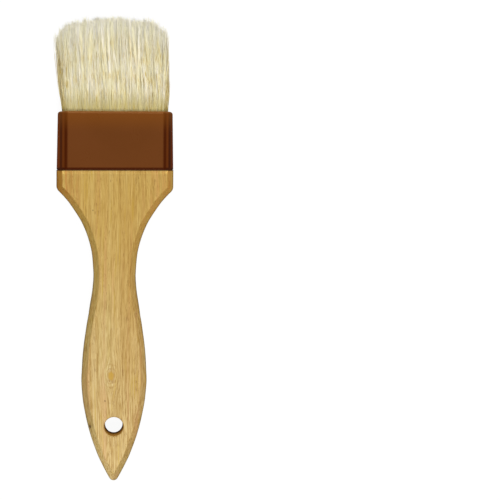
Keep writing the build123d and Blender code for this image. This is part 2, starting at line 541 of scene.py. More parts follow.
def shapeBoard(size):
    # rows of points run round the outline, from the back face over the side to the front face
    spots, inwards = traceHandle(size)
    bottom, top, chamfer = size["bottom"], size["top"], size["chamfer"]
    profile = softened([
        (size["support"], bottom, 0), (chamfer, bottom, size["faceSoftening"]),
        (0, bottom + chamfer, size["sideSoftening"]), (0, top - chamfer, size["sideSoftening"]),
        (chamfer, top, size["faceSoftening"]), (size["support"], top, 0)])
    insets, heights = profile.T
    half = len(profile) // 2
    # how far each line into the wood goes before it meets the other side's
    reach = np.full(len(spots), size["tipRadius"])
    slanted = np.abs(inwards[:, 0]) > size["leastSlant"]
    reach[slanted] = spots[slanted, 0] / -inwards[slanted, 0]
    travel = np.cumsum(np.r_[0, np.linalg.norm(np.diff(spots, axis=0), axis=1)])
    sanding = sandedBy(travel, size)
    places = np.empty((2 * len(spots) - 1, len(profile), 3))
    for row in range(len(profile)):
        front = row >= half
        sanded = 0 < insets[row] < size["support"]
        inset = insets[row] + sanding * (1.0 if front else size["backWaves"]) * sanded
        inset = np.minimum(inset, reach)
        height = np.full(len(spots), heights[row])
        held = reach < insets[row]
        side = slice(half, None) if front else slice(half - 1, None, -1)
        height[held] = np.interp(reach[held], insets[side], heights[side])
        line = spots + inwards * inset[:, None]
        line[held, 0] = 0.0
        places[:len(spots), row] = np.c_[line, height]
        places[len(spots):, row] = np.c_[line * (-1, 1), height][:-1][::-1]
    board = sheetFrom("handleWood", places)
    # the flat back and front close it
    for level in (top, bottom):
        selectPoints(board, lambda spots: (np.abs(spots[:, 2] - level) < nearEnough)
                     & onOpenEdge(board.data))
        fillSelected()
    return board


def onOpenEdge(mesh):
    # which points lie on an edge that has one face only
    edgeOfLoop = np.empty(len(mesh.loops), int)
    mesh.loops.foreach_get("edge_index", edgeOfLoop)
    faces = np.bincount(edgeOfLoop, minlength=len(mesh.edges))
    ends = np.empty(len(mesh.edges) * 2, int)
    mesh.edges.foreach_get("vertices", ends)
    found = np.zeros(len(mesh.vertices), bool)
    found[ends.reshape(-1, 2)[faces == 1]] = True
    return found


def addTenon(handle, size):
    # the end against the ferrule is closed, its edges are broken, and the tenon stands on it
    endY = size["jointY"] - size["jointGap"]
    middle = (size["bottom"] + size["top"]) / 2
    selectLevel(handle, 1, endY)
    fillSelected()
    turnOutwards(handle)
    selectLevel(handle, 1, endY)
    bpy.ops.mesh.bevel(offset=size["endSoftening"] * mm, segments=3, affect="EDGES")
    stopEditing()
    selectLevel(handle, 1, endY)
    bpy.ops.mesh.extrude_region_move()
    narrowing = size["tenonHalfWidth"] / (size["shoulderX"] - size["endSoftening"])
    bpy.ops.transform.resize(value=(narrowing, 1, 1), center_override=(0, endY * mm, middle * mm))
    bpy.ops.mesh.extrude_region_move(
        TRANSFORM_OT_translate={"value": (0, size["tenonLength"] * mm, 0)})
    stopEditing()


def skewEnd(handle, size):
    spots = pointsOf(handle.data)
    spots[:, 1] += size["skew"] * rise(spots[:, 1] / mm, *size["skewed"]) * spots[:, 0]
    movePoints(handle.data, spots)


def drillHole(handle, size):
    # the hanging hole, its rim a little torn along the grain
    top, bottom, flare, past = size["top"], size["bottom"], size["holeFlare"], size["drillPast"]
    wall = softened([
        (top + past, past + flare, 0), (top, flare, 0),
        (top - flare * size["holeFlareSlope"], 0, size["holeSoftening"]),
        (bottom + size["holeExitHeight"], -size["holeExit"], size["holeSoftening"]),
        (bottom, size["holeBackRim"], 0), (bottom - past, past, 0)], 3)
    chance = np.random.default_rng(5)
    sides = size["holeSides"]
    around = np.linspace(0, 2 * math.pi, sides + 1)
    torn = chance.random(sides) ** 3 * size["holeRaggedness"]
    torn = np.r_[torn, torn[0]] * np.abs(np.sin(around)) ** 1.5
    places = np.empty((sides + 1, len(wall), 3))
    for row, (height, extra) in enumerate(wall):
        radius = size["holeRadius"] + extra + torn * (extra > 0.05)
        places[:, row, 0] = radius * np.cos(around)
        places[:, row, 1] = size["holeY"] + radius * np.sin(around)
        places[:, row, 2] = height
    drill = sheetFrom("drill", places)
    for level in (top + past, bottom - past):
        selectLevel(drill, 2, level)
        fillSelected()
    turnOutwards(drill)
    onlySelect(handle)
    cut = handle.modifiers.new("hole", "BOOLEAN")
    cut.operation, cut.solver, cut.object = "DIFFERENCE", "EXACT", drill
    bpy.ops.object.modifier_apply(modifier=cut.name)
    bpy.data.objects.remove(drill)


def makeHandle(size):
    handle = shapeBoard(size)
    addTenon(handle, size)
    skewEnd(handle, size)
    drillHole(handle, size)
    smooth(handle)
    return handle


# Each zone gives where it starts and where it is in full, in mm. Along the brush that is Y, across
# it X, and in depth the distance from the middle of the board.
woodLook = {
    "fibres": [(0.35, tone(169, 132, 69)), (0.50, tone(199, 167, 102)),
               (0.65, tone(215, 187, 127))],
    "livelier": (-5.0, -80.0, 0.78, 1.4),       # the fibres, towards the tip
    # pinkish and pale bands, yellow and dark streaks: from, to and how strong
    "figure": [("Bands", 0.52, 0.66, 0.5, tone(207, 163, 110)),
               ("Bands", 0.46, 0.34, 0.4, tone(216, 191, 136)),
               ("Streaks", 0.42, 0.28, 0.7, tone(196, 163, 76)),
               ("Streaks", 0.57, 0.74, 0.5, tone(169, 132, 69))],
    "pore": tone(132, 86, 44),
    "poreDepth": 0.6,
    "russet": tone(198, 136, 78),
    "russetAcross": (12.0, 22.0),               # near the shoulders
    "russetAlong": (0.0, 26.0),
    "russetGrain": ((0.55, 0.03, 0.55), 3, 0.6),
    "russetLevels": (0.46, 0.64, 0, 0.45),
    # the knot: an amber eye with a darker rim, rings round it, and the grain bending round it
    "knotPlace": (-1.4, -60.0, 12.8),
    "knotSize": (1.2, 2.0),
    "knotDepth": (-4.0, -1.0),
    "knotUneven": ((1.3, 1.0, 0.2), 2),
    "knotUnevenness": 1.6,
    "knotParts": [(3.4, 1.0, 0.5, tone(168, 124, 60)), (1.6, 0.4, 0.8, tone(190, 145, 46))],
    "ring": tone(168, 124, 60),
    "ringShape": (1.45, 1.0, 0.2),
    "ringPace": 3.1,
    "ringUneven": ((0.5, 0.3, 0.3), 1),
    "ringUnevenness": 6.0,
    "ringReach": (9.0, 3.5, 0, 0.32),
    "bendSize": (4.2, 8.5, 9.0),
    "bend": 2.3,
    "bendSharpness": 0.8,
    "wander": ((0.02, 0.010, 0.02), 1),
    "wanderSpan": 4.0,
    # tones multiplied in along the board: partly the wood's own tone, with painted shade towards
    # the ferrule and painted light towards the tip
    "toneAndShadingAlong": [(-75.0, 35.0, (0.90, 0.84, 0.56, 1)), (-70.0, -100.0, (1.10, 1.12, 1.17, 1))],
    # painted light on the wood just below the ferrule, where the ferrule casts its shadow
    "jointPaintedLight": (1.78, 1.80, 1.95, 1),
    "jointPaintedLightZone": (34.8, 36.9),
    "jointShadeLine": tone(70, 26, 4),               # painted shade line against the ferrule
    "jointShadeLineZone": (36.88, 37.06, 0, 0.9),
    # on the face: middle across, half width, from and to along, and the tone multiplied in
    "tracts": [(-4.0, 5.5, -20.0, -66.0, (1.06, 1.14, 1.25, 1)),
               (6.3, 4.8, 24.0, -62.0, (0.93, 0.885, 0.79, 1))],
    "tractCore": 0.3,                           # of its width, where it is in full
    "tractFades": (8, 6),                       # at its start and at its end
    # tones multiplied in on the chamfers
    "offFace": (5.22, 4.85),
    "fadesAtTip": (-108.0, -94.0, 0.25, 1),
    "chamfer": (0.94, 0.91, 0.87, 1),
    "chamferWarm": (0.98, 0.88, 0.73, 1),
    "warmAlong": (-20.0, 24.0, 0, 0.45),
    "blotches": ((0.45, 0.09, 0.45), 3, 0.6),
    "blotchContrast": 2.2,
    "blotchLevel": -0.75,
    # painted shade on the left chamfers
    "leftChamferShade": (0.95, 1.03, 1.05, 1),
    "shadedLeftSide": (2.0, -2.0),
    "leftStraightShade": (0.88, 0.68, 0.46, 1),      # painted shade beside the ferrule
    "straightShadeZone": (22.5, 29.5),
    "arrisShade": (0.68, 0.70, 0.69, 1),             # painted shade on the outermost edge
    "arrisShadeZone": (3.1, 2.4),
    "tipZone": (-82.0, -96.0),
    # near the tip: painted light on the left chamfer and painted shade on the right
    "tipSidesLightAndShade": [(0.5, -0.5, (1.22, 1.26, 1.38, 1)), (-0.5, 0.5, (0.86, 0.87, 0.82, 1))],
    "edgeHighlight": (1.12, 1.12, 1.12, 1),           # a painted highlight along the corner between face and chamfer
    "edgeHighlightDepth": 5.17,
    "edgeHighlightZone": (0.24, 0.04),
    "specks": [((-10.3, 18.3, 12.0), 0.45), ((-4.2, -71.8, 12.0), 0.5),
               ((-11.3, -84.2, 12.0), 1.0)],
    "speck": tone(92, 62, 24),
    "speckShape": (1, 0.7, 0.3),
    "speckCore": 0.4,
    "speckStrength": 0.85,
    # the drilled wall: its own darker tone, with painted shade deeper down
    "bore": tone(80, 38, 4),
    "boreLitTone": tone(196, 144, 58),
    "boreEdge": (0.25, 0.1),                    # past the hole's radius
    "boreDepth": (5.1, 4.8),
    "boreShadeHeights": (4.5, 11.5),                     # by height
    "boreContrast": 1.1,
    "boreLevel": -0.35,
    "boreUneven": ((0.8, 0.8, 1.5), 3),
    "smooth": 0.46,
    "rough": 0.62,
    "gloss": 0.3,
    "bump": (0.5, 0.06),                        # strength, and depth in mm
}


def bendGrain(tree, spot, fromKnot, look):
    # the grain bends round the knot and wanders slowly elsewhere
    shares = stretched(tree, fromKnot, [1 / size for size in look["bendSize"]])
    apart = maths(tree, "POWER", lengthOf(tree, shares), 2.0)
    near = maths(tree, "EXPONENT", times(tree, apart, -1.0))
    side = maths(tree, "TANH", times(tree, split(tree, fromKnot)[0], look["bendSharpness"]))
    push = times(tree, times(tree, side, -look["bend"]), near)
    wander = wobble(tree, spot, look["wander"], look["wanderSpan"])
    shift = addNode(tree, "ShaderNodeCombineXYZ", {0: plus(tree, push, wander)})
    return vectorMaths(tree, "ADD", spot, shift.outputs[0]).outputs[0]


def paintKnot(tree, colour, spot, fromKnot, look):
    turns = times(tree, noise(tree, spot, *look["ringUneven"]), look["ringUnevenness"])
    oval = lengthOf(tree, stretched(tree, fromKnot, look["ringShape"]))
    turns = timesPlus(tree, oval, look["ringPace"], turns)
    ringed = ranged(tree, maths(tree, "SINE", turns), 0.0, 1.0)
    ringed = times(tree, ringed, ranged(tree, oval, *look["ringReach"]))
    colour = blended(tree, ringed, colour, look["ring"])
    across, along = look["knotSize"]
    shares = stretched(tree, fromKnot, (1 / across, 1 / along, 0))
    eye = maths(tree, "POWER", lengthOf(tree, shares), 2.0)
    eye = plus(tree, eye, wobble(tree, spot, look["knotUneven"], look["knotUnevenness"]))
    nearFace = ranged(tree, split(tree, fromKnot)[2], *look["knotDepth"])
    for start, end, strength, shade in look["knotParts"]:
        inside = times(tree, ranged(tree, eye, start, end), nearFace)
        colour = blended(tree, times(tree, inside, strength), colour, shade)
    return colour


def makeWood(look, size):
    material, tree, shader = newMaterial("handleHardwood")
    spot = inMillimetres(tree)
    x, y, z = split(tree, spot)
    fromKnot = seenFrom(tree, spot, look["knotPlace"])
    flowing = bendGrain(tree, spot, fromKnot, look)
    grain = grainOf(tree, flowing)

    lively = ranged(tree, y, *look["livelier"])
    fibres = timesPlus(tree, minus(tree, grain["Fibres"], 0.5), lively, 0.5)
    colour = ramp(tree, fibres, look["fibres"])
    for part, start, end, strength, shade in look["figure"]:
        colour = blended(tree, ranged(tree, grain[part], start, end, 0, strength), colour, shade)
    colour = blended(tree, times(tree, grain["Pores"], look["poreDepth"]), colour, look["pore"])
    aside = ranged(tree, maths(tree, "ABSOLUTE", x), *look["russetAcross"])
    aside = times(tree, aside, ranged(tree, y, *look["russetAlong"]))
    russet = ranged(tree, noise(tree, flowing, *look["russetGrain"]), *look["russetLevels"])
    colour = blended(tree, times(tree, russet, aside), colour, look["russet"])
    colour = paintKnot(tree, colour, spot, fromKnot, look)

    # the face: darker towards the ferrule, partly the wood's tone and partly painted shade; painted
    # light and a painted shade line at the joint; and the tracts
    depth = distance(tree, z, (size["bottom"] + size["top"]) / 2)
    slanted = ranged(tree, depth, *look["offFace"])
    offFace = times(tree, slanted, ranged(tree, y, *look["fadesAtTip"]))
    onFace = minus(tree, 1.0, offFace)
    for start, end, shade in look["toneAndShadingAlong"]:
        colour = tinted(tree, ranged(tree, y, start, end), colour, shade)
    level = timesPlus(tree, x, -size["skew"], y)
    # painted light on the wood just below the ferrule, where the ferrule casts its shadow
    litAtJoint = times(tree, ranged(tree, level, *look["jointPaintedLightZone"]), onFace)
    colour = tinted(tree, litAtJoint, colour, look["jointPaintedLight"])
    # a painted shade line where the wood meets the ferrule
    shadeUnderLip = ranged(tree, level, *look["jointShadeLineZone"])
    colour = blended(tree, shadeUnderLip, colour, look["jointShadeLine"])
    above, below = look["tractFades"]
    for middle, width, top, bottom, shade in look["tracts"]:
        core = width * look["tractCore"]
        tract = times(tree, ranged(tree, distance(tree, x, middle), width, core),
                      ranged(tree, y, top + above, top - above))
        tract = times(tree, tract, ranged(tree, y, bottom - below, bottom + below))
        colour = tinted(tree, times(tree, tract, onFace), colour, shade)

    # the chamfers, across which the fibres are cut slantwise and show as blotches
    warmth = timesPlus(tree, noise(tree, flowing, *look["blotches"]), look["blotchContrast"],
                       look["blotchLevel"])
    warmth = plus(tree, warmth, ranged(tree, y, *look["warmAlong"]), clamp=True)
    edgeTone = blended(tree, warmth, look["chamfer"], look["chamferWarm"])
    colour = tinted(tree, offFace, colour, edgeTone)
    # painted shade on the outermost edge
    colour = tinted(tree, ranged(tree, depth, *look["arrisShadeZone"]), colour, look["arrisShade"])
    # painted shade on the left chamfers, and more of it on their straight part beside the ferrule
    shadedLeft = times(tree, offFace, ranged(tree, x, *look["shadedLeftSide"]))
    colour = tinted(tree, shadedLeft, colour, look["leftChamferShade"])
    straight = times(tree, shadedLeft, ranged(tree, y, *look["straightShadeZone"]))
    colour = tinted(tree, straight, colour, look["leftStraightShade"])
    # near the tip: painted light on the left chamfer and painted shade on the right
    nearTip = times(tree, ranged(tree, y, *look["tipZone"]), slanted)
    for start, end, shade in look["tipSidesLightAndShade"]:
        colour = tinted(tree, times(tree, nearTip, ranged(tree, x, start, end)), colour, shade)
    # a painted highlight along the corner between face and chamfer
    corner = ranged(tree, distance(tree, depth, look["edgeHighlightDepth"]), *look["edgeHighlightZone"])
    colour = tinted(tree, corner, colour, look["edgeHighlight"])

    for place, radius in look["specks"]:
        away = stretched(tree, seenFrom(tree, spot, place), look["speckShape"])
        inside = ranged(tree, lengthOf(tree, away), radius, radius * look["speckCore"], 0,
                        look["speckStrength"])
        colour = blended(tree, inside, colour, look["speck"])
    # the drilled wall is darker than the board, and painted shade makes it darker still the deeper
    # it is
    fromHole = stretched(tree, seenFrom(tree, spot, (0, size["holeY"], 0)), (1, 1, 0))
    inBore = ranged(tree, lengthOf(tree, fromHole),
                    *[size["holeRadius"] + past for past in look["boreEdge"]])
    inBore = times(tree, inBore, ranged(tree, depth, *look["boreDepth"]))
    litShare = timesPlus(tree, ranged(tree, z, *look["boreShadeHeights"]), look["boreContrast"],
                        look["boreLevel"])
    litShare = plus(tree, litShare, noise(tree, spot, *look["boreUneven"]), clamp=True)
    wall = blended(tree, litShare, look["bore"], look["boreLitTone"])
    feed(tree, shader, {
        "Base Color": blended(tree, inBore, colour, wall),
        "Roughness": handled(tree, spot, look["smooth"], look["rough"]),
        "Specular IOR Level": look["gloss"],
    })
    relief = minus(tree, times(tree, grain["Fibres"], 0.5), grain["Pores"])
    addBump(tree, shader, relief, *look["bump"])
    return material


handleWood = makeHandle(handleSize)
wear(handleWood, makeWood(woodLook, handleSize))
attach(handleWood, "root")
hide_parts("handle")
print("handle made:", len(handleWood.data.polygons), "faces")


# Ferrule

ferruleSize = {
    "jointY": 37.4,
    "mouthY": 64.9,
    "middleZ": 7.5,
    "halfDepth": 7.5,
    "sideX": 25.9,            # where the rounded sides start
    "bulge": 1.6,
    "bulgeLoss": 0.15,        # of each mm further in
    "reach": 30.8,            # x + z along the corner facets
    "faceSoftening": 2.4,
    "leastSoftening": 0.25,
    "lip": 1.25,
    "lipDepth": 6,            # how far the mouth's inner wall is shaped
    "wall": 2.0,
    "endChamfer": 0.25,
    "endRounding": 0.1,
    "endDepth": 0.35,
    "innerSoftening": 0.3,
    "loopStep": 2.5,          # between loops along the sleeve
    "faceParts": 12,
    "sideParts": 8,
    "narrowing": 0.016,       # the mouth is a little narrower than the end at the handle
    "skew": 0.0085,           # both ends rise a little to the right
}


def ferruleSection(size, inset):
    # a quarter of the sleeve's section, mirrored round
    flatZ = size["halfDepth"] - inset
    sideX = size["sideX"] - inset
    reach = size["reach"] - inset * math.sqrt(2)
    cornerX, cornerZ = reach - flatZ, reach - sideX
    softening = max(size["faceSoftening"] - inset, size["leastSoftening"])
    facet = softened([(0, flatZ, 0), (cornerX, flatZ, softening), (sideX, cornerZ, 0)], 7)[1:]
    flat = [(facet[0][0] * share, flatZ)
            for share in np.linspace(0, 1, size["faceParts"] + 1)[:-1]]
    bulge = size["bulge"] - size["bulgeLoss"] * inset
    radius = (cornerZ**2 + bulge**2) / (2 * bulge)
    opening = math.asin(cornerZ / radius)
    side = [(sideX + bulge - radius + radius * math.cos(a), radius * math.sin(a))
            for a in np.linspace(opening, 0, size["sideParts"] + 1)[1:]]
    quarter = np.concatenate([flat, facet, side])
    half = np.concatenate([quarter, (quarter[:-1] * (1, -1))[::-1]])
    return np.concatenate([half, (half[:-1] * (-1, 1))[::-1]])


def makeFerrule(size):
    joint, mouth, wall = size["jointY"], size["mouthY"], size["wall"]
    profile = softened([
        (wall, joint, 0), (size["endChamfer"], joint, size["endRounding"]),
        (0, joint + size["endDepth"], size["innerSoftening"]), (0, mouth, size["lip"]),
        (wall, mouth, size["innerSoftening"]), (wall, mouth - size["lipDepth"], 0),
        (wall, joint, 0)], 6)
    # even loops along the long stretches
    rows = []
    for one, other in zip(profile, profile[1:]):
        parts = max(1, int(abs(other[1] - one[1]) / size["loopStep"]))
        rows += [one + (other - one) * part / parts for part in range(parts)]
    rows.append(profile[-1])
    places = []
    for inset, y in rows:
        x, z = ferruleSection(size, inset).T
        narrow = 1 - size["narrowing"] * (y - joint) / (mouth - joint)
        places.append(np.stack([x * narrow, y + size["skew"] * x, z + size["middleZ"]], axis=1))
    ferrule = sheetFrom("ferruleShell", np.array(places).transpose(1, 0, 2))
    turnOutwards(ferrule)
    smooth(ferrule)
    return ferrule


# Zones give where they start and where they are in full, in mm, across from the moulding's middle
# and along from the tip
plasticLook = {
    "colour": tone(107, 59, 25),
    "deep": tone(104, 57, 23),
    "cloud": ((0.05, 0.05, 0.05), 3),
    "cloudLevels": (0.35, 0.65),
    "sheen": (1.0, 0.62, 0.32, 1),
    # painted dark reflection along the rounded corners
    "cornerDarkReflection": tone(66, 18, 0),
    "centre": 0.15,                      # the moulding stands a little to the right
    "corners": [(23.1, 1.28), (25.45, 1.0)],   # the middle of each rounded corner, and its width
    "cornerCore": 0.15,                  # of its width, where the line is in full
    "cornerStrength": 0.9,
    # multiplied in: painted shade on the facets, a warmer tone on the rounded sides painted against
    # their grey reflection, and painted shade on the right side
    "facet": (1.05, 0.78, 0.3, 1),
    "facetShadeZone": (22.4, 23.4),
    "side": (1.30, 1.0, 0.3, 1),
    "sideZone": (25.9, 26.5),
    "rightShade": (0.72, 0.55, 0.3, 1),
    "rightShadeZone": (23.9, 25.5),
    # painted highlight towards the lip, and painted shade where it ends on the wood
    "ends": [(54.0, 64.4, 0.45, tone(134, 76, 20)), (63.7, 64.8, 0.4, tone(186, 122, 62)),
             (38.7, 38.2, 1, tone(66, 18, 0))],
    "smooth": 0.26,
    "rough": 0.34,
    "duller": 0.4,                       # the rounded sides, than the faces
    "dullZone": (25.6, 26.4),
    "ior": 1.2,
    "gloss": 0.9,
    "waves": ((0.09, 0.05, 0.09), 1),
    "pits": ((2.2, 2.2, 2.2), 2),
    "pitting": 0.03,
    "bump": (0.25, 0.2),                 # strength, and depth in mm
}


def makePlastic(look, size):
    material, tree, shader = newMaterial("brownPlastic")
    spot = inMillimetres(tree)
    x, y = split(tree, spot)[:2]
    cloud = ranged(tree, noise(tree, spot, *look["cloud"]), *look["cloudLevels"])
    colour = blended(tree, cloud, look["deep"], look["colour"])
    # painted dark reflections along the rounded corners, and painted shade on the facets between
    # them
    out = distance(tree, x, look["centre"])
    colour = tinted(tree, ranged(tree, out, *look["facetShadeZone"]), colour, look["facet"])
    for corner, width in look["corners"]:
        line = ranged(tree, distance(tree, out, corner), width, width * look["cornerCore"], 0,
                      look["cornerStrength"])
        colour = blended(tree, line, colour, look["cornerDarkReflection"])
    # the rounded sides warmer against their grey reflection, and painted shade on the right side
    colour = tinted(tree, ranged(tree, out, *look["sideZone"]), colour, look["side"])
    colour = tinted(tree, ranged(tree, x, *look["rightShadeZone"]), colour, look["rightShade"])
    along = timesPlus(tree, x, -size["skew"], y)
    # painted highlight towards the lip, and painted shade where it ends on the wood
    for start, end, strength, shade in look["ends"]:
        colour = blended(tree, ranged(tree, along, start, end, 0, strength), colour, shade)
    dull = ranged(tree, out, *look["dullZone"])
    feed(tree, shader, {
        "Base Color": colour,
        "Roughness": timesPlus(tree, dull, look["duller"],
                               handled(tree, spot, look["smooth"], look["rough"])),
        "IOR": look["ior"],
        "Specular IOR Level": look["gloss"],
        "Specular Tint": look["sheen"],
    })
    pits = times(tree, noise(tree, spot, *look["pits"]), look["pitting"])
    relief = plus(tree, noise(tree, spot, *look["waves"]), pits)
    addBump(tree, shader, relief, *look["bump"])
    return material


ferruleShell = makeFerrule(ferruleSize)
wear(ferruleShell, makePlastic(plasticLook, ferruleSize))
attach(ferruleShell, "root")
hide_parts("ferrule")
print("ferrule made:", len(ferruleShell.data.polygons), "faces")


# Bristles

tuft = {
    "rootY": 55.4,
    "mouthY": 64.9,
    "crownY": 110.4,
    "middleZ": 7.5,
    "halfWidth": 24.75,
    "halfDepth": 5.35,
    "cornerReach": 27.4,      # x + z in the cavity's corners
    "stripHalf": 1.0,         # the filler strip between the banks
    "swell": 6.2,             # half the tuft's depth above the mouth
    "swellLoss": 0.05,        # of it at the ends
    "rings": (0.0, 0.19, 0.32, 0.45, 0.58, 0.71, 0.84, 0.965, 1.0),
    "taper": (1.0, 1.0, 1.0, 1.0, 0.98, 0.93, 0.82, 0.52, 0.0),
    "layers": {"Outer": (3.9, 5.35), "Middle": (2.5, 3.9), "Inner": (1.1, 2.5)},
    "hairs": 4300,            # in each layer
    "thickness": 0.172,
    "uneven": (0.22, 0.5, 1.6),    # spread, least and most of a hair's thickness
    "lean": -2.15,            # to the left, at the ends
    "fan": 0.75,
    # the power of the way out with which each grows
    "curves": {"lean": 1.25, "fan": 0.6, "gather": 1.3, "clump": 1.15, "strand": 1.2, "own": 1.3,
               "fray": 1.1},
    # how many times sooner than at the end each is complete
    "sooner": {"closed": 5, "drawn": 3, "free": 8},
    # how far the ends lie below the highest one, as amounts and powers of the way to each side
    "crownLeft": [(4.2, 1.5), (2.6, 9)],
    "crownRight": [(1.9, 1.5), (13.5, 11)],
    # bundles hold clumps, clumps hold strands, strands hold hairs
    "bundles": 46,
    "clumps": 280,
    "strands": 2600,
    "spread": (26, 25.2, 5.6),     # half the room they are set out in: bundles, the rest, and depth
    "gather": 0.27,           # of strands into their clump, at the ends
    "strandGather": 0.6,      # of hairs into their strand
    "bundleGather": 0.08,
    "bundleLean": 0.5,
    "clumpLean": 0.5,
    "clumpDepth": 0.3,        # of these leans, in depth
    "strandLean": 1.4,
    "ownLean": 0.55,
    "strandBow": 0.5,
    "ownBow": 0.2,
    "inDepth": 0.6,           # of these leans and bows, in depth
    "ripple": 0.55,           # of the bow
    "wave": 0.34,             # of a whole clump
    "wavePace": 5,
    "strandWeave": (0.14, 0.38),   # sideways and in depth, at each ring
    "ownWeave": (0.05, 0.14),
    "bundleShort": 0.6,
    "shortest": 2.95,         # below the crown, from which some clumps and strands stand up
    "clumpTall": 0.4,
    "strandTall": 0.95,
    "tallest": -0.6,
    "pointed": (0.5, 1.5),    # how much shorter a clump is at its rim: amount and power
    "ragged": 1.3,
    "stunted": (0.05, 1, 9),       # the share of hairs that are short, and by how much
    "thinCorner": (0.72, 14),      # at the left: from where, and by how much they are shorter
    "shortfalls": (0.4, 16),       # least and most
    "rebels": (0.05, 2.5),         # the share of hairs that lean and bend more, and how much more
    "fray": (0.78, 1.6),           # at the left: from where, and how far out
    "room": (-29.0, 28.0, 6.75),   # no hair strays past these
    "tints": 64,
    "mapMargin": 0.01,        # at each end of a hair, on its map
    "mapWidth": 0.3,          # of a hair, each way from the middle of its tint
    "tint": 0.605,
    "tintSpread": (0.035, 0.06),   # of strands and of hairs
    "browner": 0.05,               # a few much more so
    # browner towards the sides: painted shade
    "sidesPaintedShade": (0.80, 0.15),
    "insidePaintedShade": 0.14,         # inner hairs browner: painted warm shade in the gaps
}

# how the hairs' shading turns towards the tuft's outside
hairShading = {
    "outwards": 0.9,
    "outer": (3.4, 5.6),      # from the tuft's middle plane: none, and in full
    "ends": (0.7, 0.95),      # along a hair: as the outer hairs, and as near the ends
    "endsDepth": (-2.5, 1.5, -0.3),    # near the ends: where none, over how much, and the least
    "sideX": 27,
    "sidePower": 6,
    "side": 0.6,
    "point": 0.6,
}


def makeBristle(rings):
    # one bristle: a three-sided cone cut into lengths, its point up
    bpy.ops.object.select_all(action="DESELECT")
    bpy.ops.mesh.primitive_cone_add(vertices=3, radius1=1, radius2=0, depth=1,
                                    location=(0, 0, 0.5))
    bristle = bpy.context.object
    startEditing(bristle)
    for ring in rings[1:-1]:
        bpy.ops.mesh.select_all(action="SELECT")
        bpy.ops.mesh.bisect(plane_co=(0, 0, ring), plane_no=(0, 0, 1))
    stopEditing()
    bpy.ops.object.transform_apply(location=True)
    return bristle


def crownOf(share, size):
    # how far the tuft's end lies below its highest point, from side to side
    left, right = np.clip(-share, 0, 1), np.clip(share, 0, 1)
    return (sum(amount * left**power for amount, power in size["crownLeft"])
            + sum(amount * right**power for amount, power in size["crownRight"]))


def plantHairs(size, side, layer, chance):
    # roots in one layer of one half of the cavity: more than needed, less those past its corners
    low, high = size["layers"][layer]
    across = chance.uniform(-size["halfWidth"], size["halfWidth"], 2 * size["hairs"])
    deep = chance.uniform(low, high, 2 * size["hairs"])
    kept = np.abs(across) + deep < size["cornerReach"]
    return across[kept][:size["hairs"]], side * deep[kept][:size["hairs"]]


def nearest(x, z, otherX, otherZ, deeper=1.5):
    # a step in depth counts for more than one sideways
    return ((x[:, None] - otherX) ** 2 + (deeper * (z[:, None] - otherZ)) ** 2).argmin(axis=1)


def setOut(chance, halfX, halfZ, count):
    return chance.uniform(-halfX, halfX, count), chance.uniform(-halfZ, halfZ, count)


def makeStrands(size):
    # each strand leans with its clump and bundle and a little by itself
    chance = np.random.default_rng(77)
    bundles, clumps, strands = size["bundles"], size["clumps"], size["strands"]
    bundleHalf, half, halfZ = size["spread"]
    bundleX, bundleZ = setOut(chance, bundleHalf, halfZ, bundles)
    clumpX, clumpZ = setOut(chance, half, halfZ, clumps)
    bundle = nearest(clumpX, clumpZ, bundleX, bundleZ)
    leans = []
    for own, others, amount in ((clumpX, bundleX, 1), (clumpZ, bundleZ, size["clumpDepth"])):
        leans.append(chance.normal(0, size["bundleLean"] * amount, bundles)[bundle]
                     + chance.normal(0, size["clumpLean"] * amount, clumps)
                     + size["bundleGather"] * (others[bundle] - own))
    short = (chance.random(bundles)[bundle] * size["bundleShort"] + size["shortest"]
             - chance.exponential(size["clumpTall"], clumps))
    wave = chance.uniform(0, 2 * math.pi, clumps)
    x, z = setOut(chance, half, halfZ, strands)
    clump = nearest(x, z, clumpX, clumpZ)
    weave = (strands, len(size["rings"]))
    pointed, power = size["pointed"]
    aside = np.hypot(x - clumpX[clump], z - clumpZ[clump])
    return {
        "x": x,
        "z": z,
        "clumpX": clumpX[clump],
        "clumpZ": clumpZ[clump],
        "clumpLeanX": leans[0][clump],
        "clumpLeanZ": leans[1][clump],
        "wave": wave[clump],
        "short": (short[clump] - chance.exponential(size["strandTall"], strands)
                  + pointed * aside**power),
        "leanX": chance.normal(0, size["strandLean"], strands),
        "leanZ": chance.normal(0, size["strandLean"] * size["inDepth"], strands),
        "bowX": chance.normal(0, size["strandBow"], strands),
        "bowZ": chance.normal(0, size["strandBow"] * size["inDepth"], strands),
        "rippleX": chance.normal(0, size["strandBow"] * size["ripple"], strands),
        "tone": chance.normal(0, 1, strands),
        "weaveX": chance.normal(0, size["strandWeave"][0], weave),
        "weaveZ": chance.normal(0, size["strandWeave"][1], weave),
    }


def hairHeights(share, own, chance, size):
    # where each ring of each hair lies along the tuft
    count = len(share)
    shortfall = (crownOf(share, size) + np.maximum(own["short"][:, 0], size["tallest"])
                 + chance.exponential(size["ragged"], count))
    few, least, most = size["stunted"]
    shortfall += np.where(chance.random(count) < few, chance.uniform(least, most, count), 0)
    start, most = size["thinCorner"]
    shortfall += rise(-share, start, 1) * chance.random(count) ** 2 * most
    shortfall = np.clip(shortfall, *size["shortfalls"])
    span = size["crownY"] - shortfall - size["rootY"]
    return size["rootY"] + span[:, None] * np.array(size["rings"])


